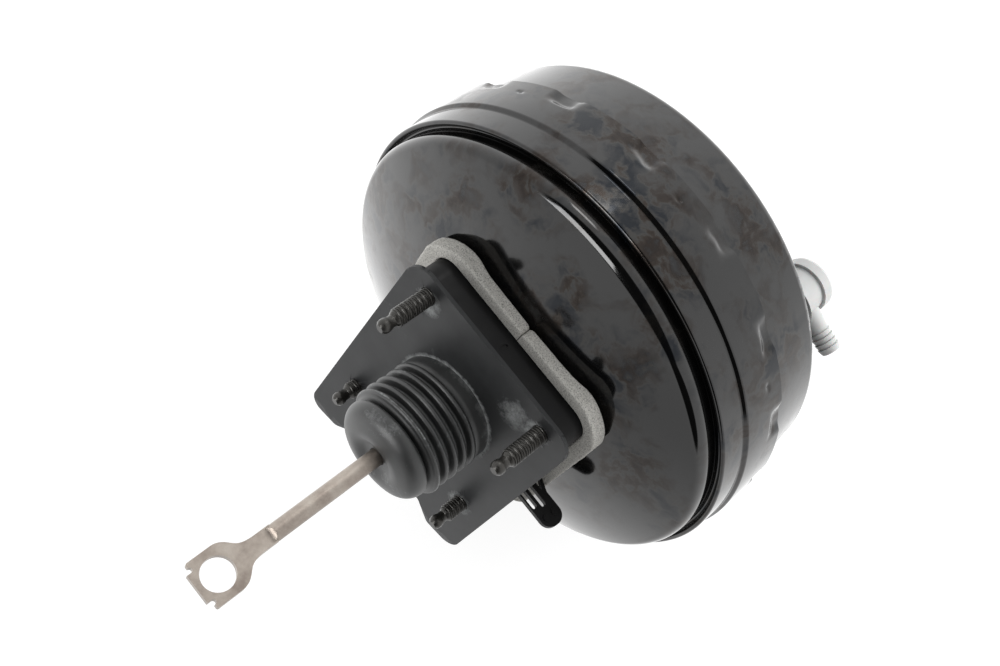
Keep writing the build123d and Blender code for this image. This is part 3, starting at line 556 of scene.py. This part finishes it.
def foam_path(step):
    """(x, z, outward x, outward z) round the spacer, from the butt joint all the way back to it."""
    points = [(-foam_x, joint_z + joint_half_gap, -1.0, 0.0)]
    quarter_steps = 12
    for quarter, (sx, sz) in enumerate(((-1, 1), (1, 1), (1, -1), (-1, -1))):
        for k in range(quarter_steps + 1):
            turn = math.radians(180 - 90 * quarter - 90 / quarter_steps * k)
            out_x, out_z = math.cos(turn), math.sin(turn)
            points.append((sx * (foam_x - foam_corner) + out_x * foam_corner,
                           sz * (foam_z - foam_corner) + out_z * foam_corner, out_x, out_z))
    points.append((-foam_x, joint_z - joint_half_gap, -1.0, 0.0))
    fine = []
    for a, b in zip(points, points[1:]):
        count = max(1, round(math.hypot(b[0] - a[0], b[1] - a[1]) / step))
        fine += [tuple(p + (q - p) * k / count for p, q in zip(a, b)) for k in range(count)]
    return fine + [points[-1]]


def rounded_section(width, height, radius, count):
    """Closed outline of a strip's section with rounded edges, as (across, along) points in millimetres."""
    point_step = 0.8
    outline = []
    for cx, cy, first in ((width - radius, height - radius, 0), (radius, height - radius, 90), (radius, radius, 180),
                          (width - radius, radius, 270)):
        for k in range(count + 1):
            turn = math.radians(first + 90 * k / count)
            outline.append((cx + radius * math.cos(turn), cy + radius * math.sin(turn)))
    fine = []
    for a, b in zip(outline, outline[1:] + outline[:1]):
        steps = max(1, round(math.hypot(b[0] - a[0], b[1] - a[1]) / point_step))
        fine += [(a[0] + (b[0] - a[0]) * k / steps, a[1] + (b[1] - a[1]) * k / steps) for k in range(steps)]
    return fine


foam_shape = bmesh.new()
section = rounded_section(foam_thick, foam_front - foam_rear, foam_edge_r, 4)
rings = []
for x, z, out_x, out_z in foam_path(ring_step):
    loop = []
    from_joint = abs(z - joint_z) if x < 2 - foam_x else math.inf
    reach = 1 - corner_thin / foam_thick * abs(2 * out_x * out_z) - joint_pinch * math.exp(-from_joint / joint_run)
    for across, along in section:
        across = across * reach
        px, pz = x + out_x * across, z + out_z * across
        top = min(foam_front, dome_height(math.hypot(px, pz)) - dome_gap)
        y = foam_rear + along * (top - foam_rear) / (foam_front - foam_rear)
        here = Vector((px, y, pz))
        roughness = noise.noise(here * 0.9) * pore_depth + noise.noise(here * 0.12) * wave_depth
        lift = roughness if across > 1.0 else 0.0
        loop.append(foam_shape.verts.new(((px + out_x * lift) * mm, (y - max(lift, 0) * (along < 1)) * mm,
                                          (pz + out_z * lift) * mm)))
    rings.append(loop)
for low, high in zip(rings, rings[1:]):
    for k in range(len(section)):
        foam_shape.faces.new((low[k], low[(k + 1) % len(section)], high[(k + 1) % len(section)], high[k]))
foam_shape.faces.new(rings[0])
foam_shape.faces.new(rings[-1])
bmesh.ops.triangulate(foam_shape, faces=[f for f in foam_shape.faces if len(f.verts) > 4])
bmesh.ops.recalc_face_normals(foam_shape, faces=foam_shape.faces)
foam_mesh = bpy.data.meshes.new("foam_strip")
foam_shape.to_mesh(foam_mesh)
foam_shape.free()
foam_grey, tree, shader, coords = new_material("open_cell_polyurethane_foam")
cells = add(tree, "ShaderNodeTexVoronoi", Vector=coords, Scale=per_mm(0.9))
fine_cells = add(tree, "ShaderNodeTexNoise", Vector=coords, Scale=per_mm(0.7), Detail=3.0, Roughness=0.7)
foam_colour = ramp(tree, fine_cells.outputs[0], (0.34, "#8a8984"), (0.45, "#cfcdc7"), (0.60, "#e6e4de"))
cell_bump = add(tree, "ShaderNodeBump", Height=cells.outputs["Distance"], Strength=0.8, Distance=0.4 * mm)
shader.inputs["Roughness"].default_value = 0.95
shader.inputs["Specular IOR Level"].default_value = 0.2
tree.links.new(foam_colour, shader.inputs["Base Color"])
tree.links.new(cell_bump.outputs[0], shader.inputs["Normal"])
foam_mesh.materials.append(foam_grey)
smooth_below(foam_mesh, 50)
foam_strip = link_object("foam_strip", foam_mesh)
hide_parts("foam_seal")
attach(foam_strip, "housing")


# Flange gasket: compression-moulded rubber plate, dark grey and satin, pushed over the studs. It stands off the
# spacer along one side and twists a little. Chalk from its mould is left round the holes and the boot.
def chalk(tree, coords, centres, reach, inner):
    """Share of white dust round (x, z) centres in millimetres: full to inner, gone by reach, broken by noise."""
    flat = add(tree, "ShaderNodeVectorMath", {"operation": "MULTIPLY"}, i0=coords, i1=(1, 0, 1))
    speck = add(tree, "ShaderNodeTexNoise", Vector=coords, Scale=per_mm(4), Detail=8.0, Roughness=0.75)
    total = None
    for x, z in centres:
        away = add(tree, "ShaderNodeVectorMath", {"operation": "DISTANCE"}, i0=flat.outputs[0], i1=(x * mm, 0, z * mm))
        near = add(tree, "ShaderNodeMapRange", Value=away.outputs["Value"], From_Min=inner * mm, From_Max=reach * mm,
                   To_Min=1.0, To_Max=0.0)
        total = near.outputs[0] if total is None else add(
            tree, "ShaderNodeMath", {"operation": "MAXIMUM"}, i0=total, i1=near.outputs[0]).outputs[0]
    broken = add(tree, "ShaderNodeMath", {"operation": "MULTIPLY"}, i0=total, i1=speck.outputs[0])
    return add(tree, "ShaderNodeMapRange", Value=broken.outputs[0], From_Min=0.27, From_Max=0.55).outputs[0]


rubber, tree, shader, coords = new_material("chalked_grey_rubber_plate")
mottle = add(tree, "ShaderNodeTexNoise", Vector=coords, Scale=per_mm(25), Detail=5.0, Roughness=0.6)
plate_colour = ramp(tree, mottle.outputs[0], (0.35, "#242526"), (0.65, "#303132"))
hole_dust = chalk(tree, coords, [(-51, 42), (-51, -42), (55, 44)], 14.0, 4.5)
boot_dust = chalk(tree, coords, [(-0.4, 0.3)], 36.0, 31.4)
fallen_dust = chalk(tree, coords, [(-47, 29)], 21.0, 3.0)
streaks = add(tree, "ShaderNodeTexNoise", Vector=coords, Scale=per_mm(60), Detail=10.0, Roughness=0.8)
loose_dust = add(tree, "ShaderNodeMapRange", Value=streaks.outputs[0], From_Min=0.6, From_Max=0.85, To_Max=0.5)
ring_dust = add(tree, "ShaderNodeMath", {"operation": "MAXIMUM"}, i0=hole_dust, i1=boot_dust)
thin_dust = add(tree, "ShaderNodeMath", {"operation": "MULTIPLY"}, i0=fallen_dust, i1=0.7)
dust = add(tree, "ShaderNodeMath", {"operation": "MAXIMUM"}, i0=ring_dust.outputs[0], i1=thin_dust.outputs[0])
all_dust = add(tree, "ShaderNodeMath", {"operation": "MAXIMUM"}, i0=dust.outputs[0], i1=loose_dust.outputs[0])
weak_dust = add(tree, "ShaderNodeMath", {"operation": "MULTIPLY"}, i0=all_dust.outputs[0], i1=0.72)
dusted = add(tree, "ShaderNodeMix", {"data_type": "RGBA"}, i0=weak_dust.outputs[0], i6=plate_colour,
             i7=linear("#b9bcbc"))
dust_rough = add(tree, "ShaderNodeMapRange", Value=all_dust.outputs[0], To_Min=0.44, To_Max=0.85)
skin = add(tree, "ShaderNodeTexNoise", Vector=coords, Scale=per_mm(1.5), Detail=4.0)
skin_bump = add(tree, "ShaderNodeBump", Height=skin.outputs[0], Strength=0.15, Distance=0.1 * mm)
shader.inputs["Specular IOR Level"].default_value = 0.26
tree.links.new(dusted.outputs[2], shader.inputs["Base Color"])
tree.links.new(dust_rough.outputs[0], shader.inputs["Roughness"])
tree.links.new(skin_bump.outputs[0], shader.inputs["Normal"])


hinge_x = -62.0
lobe_x = 103.0
twist_rise = 5.75
far_lift = 0.6
plate_half_z = 61.5
plate_tilt = 0.1263
grip_r = 5.15
hole_reach = 9
cut_step = 8.0
plate_shape = copy_of("flange_gasket")
for axis, low, high in ((0, -64, 102), (2, -60, 60)):
    for k in range(int((high - low) / cut_step) + 1):
        spot = Vector((0, 0, 0))
        spot[axis] = (low + k * cut_step) * mm
        normal = Vector((0, 0, 0))
        normal[axis] = 1
        everything = plate_shape.verts[:] + plate_shape.edges[:] + plate_shape.faces[:]
        bmesh.ops.bisect_plane(plate_shape, geom=everything, dist=0.01 * mm, plane_co=spot, plane_no=normal)
for vertex in plate_shape.verts:
    x, y, z = vertex.co / mm
    for hole_x, hole_z in firewall_places:
        away = math.hypot(x - hole_x, z - hole_z)
        if away < hole_reach:
            tightened = hole_x + (x - hole_x) * grip_r / away
            y -= (tightened - x) * plate_tilt
            x, z = tightened, hole_z + (z - hole_z) * grip_r / away
    share = max(0.0, (x - hinge_x) / (lobe_x - hinge_x))
    vertex.co = Vector((x, y + (twist_rise * z / plate_half_z + far_lift) * share, z)) * mm
gasket_plate = finished_copy("gasket_plate", "flange_gasket", plate_shape, rubber, 40)
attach(gasket_plate, "housing")

# Boot: moulded rubber bellows of five folds between the gasket and the pushrod, with a dished nose that grips the
# rod. Chalk lies white on its crests, and the folds aren't quite even. Bellows and nose are two pieces.
boot_folds = 5
boot_pitch = 6.3
boot_sides = 144
first_crest_y = -15.0
crest_r, crest_round = 32.0, 1.5
valley_r, valley_round = 27.6, 1.2
nose_r, nose_round = 29.2, 8.5
base_r, base_inner_r = 31.2, 29.5
base_y = 2.0
collar_y = -10.2
boot_wall = 1.7
gripped_r = 17
uneven_by = 0.45
half_fold = [math.pi * k / 12 for k in range(-6, 7)]
boot_outline = [(base_r, base_y), (base_r, -6.0), (base_r, collar_y), (31.35, -12.0)]
for i in range(boot_folds):
    centre = first_crest_y - i * boot_pitch
    for turn in half_fold:
        boot_outline.append((crest_r - crest_round + crest_round * math.cos(turn),
                             centre - crest_round * math.sin(turn)))
    if i < boot_folds - 1:
        valley = centre - boot_pitch / 2
        for turn in half_fold:
            boot_outline.append((valley_r + valley_round - valley_round * math.cos(turn),
                                 valley - valley_round * math.sin(turn)))
last_y = first_crest_y - (boot_folds - 1) * boot_pitch
boot_outline += [(28.8, last_y - 2.0), (28.4, last_y - 2.6), (18.0, last_y - 2.6), (18.0, last_y - 1.4),
                 (26.0, last_y - 1.4)]
for i in reversed(range(boot_folds)):
    centre = first_crest_y - i * boot_pitch
    boot_outline += [(crest_r - boot_wall, centre), (valley_r - boot_wall, centre + boot_pitch / 2)]
boot_outline[-1] = (base_inner_r, collar_y)
boot_outline.append((base_inner_r, base_y))
nose_outline = [(27.9, -44.8), (28.7, -45.4), (nose_r, -46.4)]
for k in range(12):
    turn = math.radians(75 * k / 11)
    nose_outline.append((nose_r - nose_round + nose_round * math.cos(turn), -47.2 - nose_round * math.sin(turn)))
nose_outline += [(18.5, -56.7), (15.0, -56.9), (12.5, -56.2), (10.0, -55.0), (8.6, -54.4), (5.2, -54.1), (5.2, -53.2),
                 (9.2, -53.0), (15.0, -55.0), (20.0, -54.4), (25.6, -50.6), (27.2, -46.6), (18.0, -46.2),
                 (18.0, -44.8)]
boot_rubber, tree, shader, coords = new_material("chalked_black_rubber_boot")
mottle = add(tree, "ShaderNodeTexNoise", Vector=coords, Scale=per_mm(18), Detail=5.0, Roughness=0.6)
boot_colour = ramp(tree, mottle.outputs[0], (0.35, "#252626"), (0.65, "#313232"))
height = add(tree, "ShaderNodeSeparateXYZ", Vector=coords)
flat = add(tree, "ShaderNodeVectorMath", {"operation": "MULTIPLY"}, i0=coords, i1=(1, 0, 1))
out = add(tree, "ShaderNodeVectorMath", {"operation": "LENGTH"}, i0=flat.outputs[0])
on_crest = add(tree, "ShaderNodeMapRange", Value=out.outputs["Value"], From_Min=31.3 * mm, From_Max=32.2 * mm)
worn = add(tree, "ShaderNodeTexNoise", Vector=coords, Scale=per_mm(9), Detail=8.0, Roughness=0.8)
crest_dust = add(tree, "ShaderNodeMath", {"operation": "MULTIPLY"}, i0=on_crest.outputs[0], i1=worn.outputs[0])
crest_share = add(tree, "ShaderNodeMapRange", Value=crest_dust.outputs[0], From_Min=0.43, From_Max=0.62, To_Max=0.75)
base_near = add(tree, "ShaderNodeMapRange", Value=height.outputs["Y"], From_Min=-16 * mm, From_Max=-3 * mm)
base_dust = add(tree, "ShaderNodeMath", {"operation": "MULTIPLY"}, i0=base_near.outputs[0], i1=worn.outputs[0])
base_share = add(tree, "ShaderNodeMapRange", Value=base_dust.outputs[0], From_Min=0.36, From_Max=0.7, To_Max=0.45)
ridge_dust = add(tree, "ShaderNodeMath", {"operation": "MAXIMUM"}, i0=crest_share.outputs[0],
                 i1=base_share.outputs[0])
handled = add(tree, "ShaderNodeTexNoise", Vector=coords, Scale=per_mm(24), Detail=12.0, Roughness=0.82)
smear_share = add(tree, "ShaderNodeMapRange", Value=handled.outputs[0], From_Min=0.56, From_Max=0.72, To_Max=0.45)
boot_dust = add(tree, "ShaderNodeMath", {"operation": "MAXIMUM"}, i0=ridge_dust.outputs[0],
                i1=smear_share.outputs[0])
dusted = add(tree, "ShaderNodeMix", {"data_type": "RGBA"}, i0=boot_dust.outputs[0], i6=boot_colour,
             i7=linear("#c3c6c6"))
boot_rough = add(tree, "ShaderNodeMapRange", Value=boot_dust.outputs[0], To_Min=0.46, To_Max=0.9)
skin = add(tree, "ShaderNodeTexNoise", Vector=coords, Scale=per_mm(2), Detail=4.0)
skin_bump = add(tree, "ShaderNodeBump", Height=skin.outputs[0], Strength=0.12, Distance=0.15 * mm)
tree.links.new(dusted.outputs[2], shader.inputs["Base Color"])
tree.links.new(boot_rough.outputs[0], shader.inputs["Roughness"])
tree.links.new(skin_bump.outputs[0], shader.inputs["Normal"])
for name, outline, bodies, start_y, end_y in (
        ("boot_bellows", boot_outline, ("housing", "power_piston"), base_y, -42.6),
        ("boot_nose", nose_outline, ("air_valve", "input_rod"), -45.5, -52.5)):
    mesh = lathe(name, outline, boot_sides, boot_rubber, closed=True)
    for vertex in mesh.vertices:
        x, y, z = vertex.co / mm
        r = math.hypot(x, z)
        if r > gripped_r:
            uneven = 1 + uneven_by * noise.noise(Vector((x / 22, y / 9, z / 22))) / r
            vertex.co.x *= uneven
            vertex.co.z *= uneven
    smooth_below(mesh, 60)
    boot_piece = link_object(name, mesh)
    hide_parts("pushrod_boot")
    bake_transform(boot_piece)

# Pushrod and output rod, with the plunger: forged and turned steel, bare and lightly oiled. Turning leaves fine
# rings round the shank, forging a cloudy satin grain on the eye.
bare, tree, shader, coords = new_material("bare_forged_steel")
cloud = add(tree, "ShaderNodeTexNoise", Vector=coords, Scale=per_mm(12), Detail=6.0, Roughness=0.65)
steel_colour = ramp(tree, cloud.outputs[0], (0.35, "#756c65"), (0.55, "#8c847c"), (0.7, "#9a938b"))
rings = add(tree, "ShaderNodeMapping", Vector=coords, Scale=(0.15, 3.0, 0.15))
turned = add(tree, "ShaderNodeTexNoise", Vector=rings.outputs[0], Scale=per_mm(2.2), Detail=4.0)
steel_rough = add(tree, "ShaderNodeMapRange", Value=cloud.outputs[0], From_Min=0.3, From_Max=0.7, To_Min=0.34,
                  To_Max=0.52)
ring_bump = add(tree, "ShaderNodeBump", Height=turned.outputs[0], Strength=0.2, Distance=0.06 * mm)
shader.inputs["Metallic"].default_value = 1.0
tree.links.new(steel_colour, shader.inputs["Base Color"])
tree.links.new(steel_rough.outputs[0], shader.inputs["Roughness"])
tree.links.new(ring_bump.outputs[0], shader.inputs["Normal"])
dress(bare, "pushrod", "output_rod", "plunger")

# Valve body: the power piston's moulding, phenolic resin with short glass fibres, brown black and satin, which
# shows a fleck of lighter fibre.
resin, tree, shader, coords = new_material("glass_filled_phenolic")
flecks = add(tree, "ShaderNodeTexNoise", Vector=coords, Scale=per_mm(1.5), Detail=6.0, Roughness=0.8)
resin_colour = ramp(tree, flecks.outputs[0], (0.45, "#211c18"), (0.66, "#3a332c"), (0.74, "#6b6255"))
flow = add(tree, "ShaderNodeTexNoise", Vector=coords, Scale=per_mm(8), Detail=3.0)
resin_rough = add(tree, "ShaderNodeMapRange", Value=flow.outputs[0], To_Min=0.36, To_Max=0.56)
resin_bump = add(tree, "ShaderNodeBump", Height=flecks.outputs[0], Strength=0.1, Distance=0.1 * mm)
tree.links.new(resin_colour, shader.inputs["Base Color"])
tree.links.new(resin_rough.outputs[0], shader.inputs["Roughness"])
tree.links.new(resin_bump.outputs[0], shader.inputs["Normal"])
dress(resin, "valve_body")

# Air filter and silencer: rings of pale needled felt, pushed into the neck of the valve body. The fibres are drawn
# thicker than real ones.
felt, tree, shader, coords = new_material("air_filter_felt")
fibre = add(tree, "ShaderNodeTexNoise", Vector=coords, Scale=per_mm(0.8), Detail=8.0, Roughness=0.8)
felt_colour = ramp(tree, fibre.outputs[0], (0.3, "#8d8b85"), (0.7, "#c9c7c0"))
felt_bump = add(tree, "ShaderNodeBump", Height=fibre.outputs[0], Strength=0.7, Distance=0.3 * mm)
shader.inputs["Roughness"].default_value = 0.95
shader.inputs["Sheen Weight"].default_value = 0.3
tree.links.new(felt_colour, shader.inputs["Base Color"])
tree.links.new(felt_bump.outputs[0], shader.inputs["Normal"])
dress(felt, "air_filter", "air_silencer")

# Seals, poppet, reaction disc, grommet and the check valve's disc: moulded nitrile rubber, black and matt with a
# fine skin.
nitrile, tree, shader, coords = new_material("moulded_nitrile_rubber")
skin = add(tree, "ShaderNodeTexNoise", Vector=coords, Scale=per_mm(2.5), Detail=5.0)
nitrile_colour = ramp(tree, skin.outputs[0], (0.35, "#1c1c1c"), (0.65, "#2a2a2a"))
nitrile_rough = add(tree, "ShaderNodeMapRange", Value=skin.outputs[0], To_Min=0.5, To_Max=0.7)
nitrile_bump = add(tree, "ShaderNodeBump", Height=skin.outputs[0], Strength=0.15, Distance=0.1 * mm)
tree.links.new(nitrile_colour, shader.inputs["Base Color"])
tree.links.new(nitrile_rough.outputs[0], shader.inputs["Roughness"])
tree.links.new(nitrile_bump.outputs[0], shader.inputs["Normal"])
dress(nitrile, "rear_bearing_seal", "front_seal", "divider_seal", "reaction_disc", "poppet_seal",
      "check_valve_grommet", "check_valve_disc")

# Diaphragms: fabric-reinforced rubber sheets, moulded with a rolling fold. The bead is held in the shells' rim
# and the inner part lies under its support plate. They share the seals' rubber.
for node, still_y, moving_y in (("rear_diaphragm", 75.6, 63.0), ("front_diaphragm", 86.5, 96.0)):
    sheet = finished_copy("rolling_" + node, node, copy_of(node), nitrile, 40)
    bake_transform(sheet)

# Springs, key and retainers: drawn spring-steel wire and strip, blue grey from tempering, wound round the axis.
spring_steel, tree, shader, coords = new_material("tempered_spring_steel")
temper = add(tree, "ShaderNodeTexNoise", Vector=coords, Scale=per_mm(10), Detail=4.0)
spring_colour = ramp(tree, temper.outputs[0], (0.35, "#5f6266"), (0.5, "#7b7c7d"), (0.7, "#857f75"))
drawn = add(tree, "ShaderNodeTexNoise", Vector=coords, Scale=per_mm(0.8), Detail=3.0)
spring_rough = add(tree, "ShaderNodeMapRange", Value=drawn.outputs[0], To_Min=0.28, To_Max=0.46)
spring_bump = add(tree, "ShaderNodeBump", Height=drawn.outputs[0], Strength=0.1, Distance=0.05 * mm)
shader.inputs["Metallic"].default_value = 1.0
tree.links.new(spring_colour, shader.inputs["Base Color"])
tree.links.new(spring_rough.outputs[0], shader.inputs["Roughness"])
tree.links.new(spring_bump.outputs[0], shader.inputs["Normal"])
dress(spring_steel, "plate_retainer", "output_rod_retainer", "retaining_key", "poppet_retainer")

spring_tree, given = node_group("wound_springs", ("Turns", "NodeSocketFloat"), ("Height", "NodeSocketFloat"),
                                ("Low Radius", "NodeSocketFloat"), ("High Radius", "NodeSocketFloat"),
                                ("Wire", "NodeSocketFloat"), ("Place", "NodeSocketVector"))
wire = wound_wire(spring_tree, given["Turns"], given["Height"], given["Low Radius"], given["High Radius"],
                  given["Wire"], 12, 40)
set_down = add(spring_tree, "GeometryNodeTransform", Geometry=wire.outputs[0], Translation=given["Place"])
real = add(spring_tree, "GeometryNodeRealizeInstances", Geometry=set_down.outputs[0])
painted = add(spring_tree, "GeometryNodeSetMaterial", Geometry=real.outputs[0], Material=spring_steel)
add(spring_tree, "NodeGroupOutput", Geometry=painted.outputs[0])
port_x, port_z = -76.0, 71.0
# Each row: node, x, z, low and high end along Y, low and high radius, turns and the wire's radius.
spring_rows = (
    ("return_spring", 0, 0, 108.1, 159.4, 18.0, 31.0, 5, 1.9),
    ("poppet_spring", 0, 0, 4.25, 15.6, 12.6, 12.6, 2.5, 0.6),
    ("pushrod_return_spring", 0, 0, -4.4, 2.95, 9.4, 9.4, 2, 0.8),
    ("check_valve_spring", port_x, port_z, 157.6, 169.8, 4.0, 4.0, 3, 0.5),
)
for node, x, z, low_y, high_y, low_r, high_r, turns, wire_r in spring_rows:
    empty = bpy.data.meshes.new(node + "_empty")
    spring = grow("wound_" + node, spring_tree, empty, Turns=float(turns), Height=(high_y - low_y - 2 * wire_r) * mm,
                  Low_Radius=low_r * mm, High_Radius=high_r * mm, Wire=wire_r * mm,
                  Place=(x * mm, (low_y + wire_r) * mm, z * mm))
    smooth_below(spring.data, 50)
    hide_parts(node)
    if node == "return_spring":
        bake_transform(spring)
    elif node == "check_valve_spring":
        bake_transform(spring)
    else:
        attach(spring, "power_piston")
    if node == "pushrod_return_spring":
        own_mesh(spring)

# Check valve: body with barbed hose nozzle, and its welded cap. Injection-moulded pale grey nylon, satin, with a
# faint flow cloud.
pale_nylon, tree, shader, coords = new_material("moulded_grey_nylon")
flow = add(tree, "ShaderNodeTexNoise", Vector=coords, Scale=per_mm(10), Detail=4.0)
pale_colour = ramp(tree, flow.outputs[0], (0.35, "#cacbca"), (0.65, "#d2d3d2"))
pale_rough = add(tree, "ShaderNodeMapRange", Value=flow.outputs[0], To_Min=0.4, To_Max=0.55)
mould = add(tree, "ShaderNodeTexNoise", Vector=coords, Scale=per_mm(0.7), Detail=2.0)
mould_bump = add(tree, "ShaderNodeBump", Height=mould.outputs[0], Strength=0.12, Distance=0.08 * mm)
shader.inputs["Subsurface Weight"].default_value = 0.08
shader.inputs["Subsurface Scale"].default_value = 0.003
tree.links.new(pale_colour, shader.inputs["Base Color"])
tree.links.new(pale_rough.outputs[0], shader.inputs["Roughness"])
tree.links.new(mould_bump.outputs[0], shader.inputs["Normal"])
dress(pale_nylon, "check_valve_body", "check_valve_cap")
